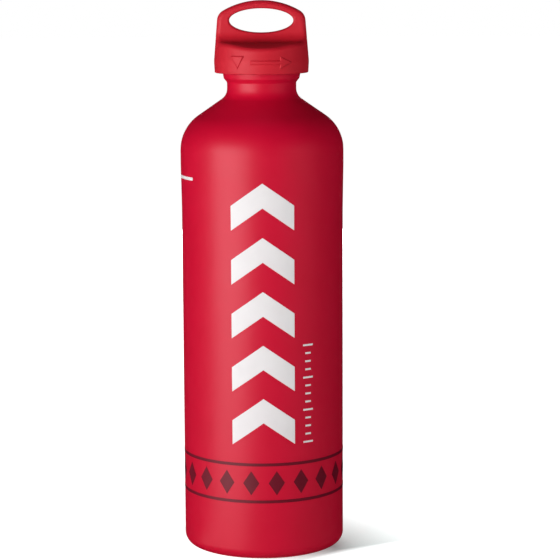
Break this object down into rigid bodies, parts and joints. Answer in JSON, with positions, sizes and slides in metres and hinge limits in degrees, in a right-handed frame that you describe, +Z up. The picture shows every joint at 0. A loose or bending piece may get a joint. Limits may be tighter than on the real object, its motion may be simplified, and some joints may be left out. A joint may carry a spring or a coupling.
{
  "type": "camping fuel bottle",
  "caption": "Slim metal fuel bottle with a rounded shoulder, a narrow threaded neck and a press-and-turn safety cap that carries an oval loop.",
  "frame": {"origin": "centre of the bottle's base, on the surface that it stands on", "axes": "+Z up the bottle's axis; X across the width of the carry loop; the picture looks along +Y"},
  "size_m": [0.0808, 0.0808, 0.2724],
  "materials": {
    "coated_aluminium": "satin",
    "red_moulding": "satin",
    "black_moulding": "satin",
    "seal_rubber": "matte",
    "spring_steel": "satin"
  },
  "bodies": {
    "bottle": {"bottle_shell": "coated_aluminium"},
    "seal": {"seal_ring": "seal_rubber"},
    "plug": {"stopper": "black_moulding"},
    "spring": {"return_spring": "spring_steel"},
    "cap": {"cap_shell": "red_moulding"}
  },
  "joints": [
    {"name": "cap_rise", "type": "slide", "parent": "bottle", "child": "seal", "axis": [0, 0, 1], "range_m": [0, 0.01601]},
    {"name": "cap_turn", "type": "hinge", "parent": "seal", "child": "plug", "pos_m": [0, 0, 0.241], "axis": [0, 0, 1], "range_deg": [0, 1440]},
    {"name": "cap_slip", "type": "hinge", "parent": "plug", "child": "spring", "pos_m": [0, 0, 0.2433], "axis": [0, 0, 1], "continuous": true},
    {"name": "cap_press", "type": "slide", "parent": "spring", "child": "cap", "axis": [0, 0, 1], "range_m": [-0.0016, 0], "stiffness_N_per_m": 4000, "deforming": ["return_spring"]}
  ],
  "couplings": [
    {"joint": "cap_rise", "follows": "cap_turn", "m_per_rad": 0.00063662}
  ]
}
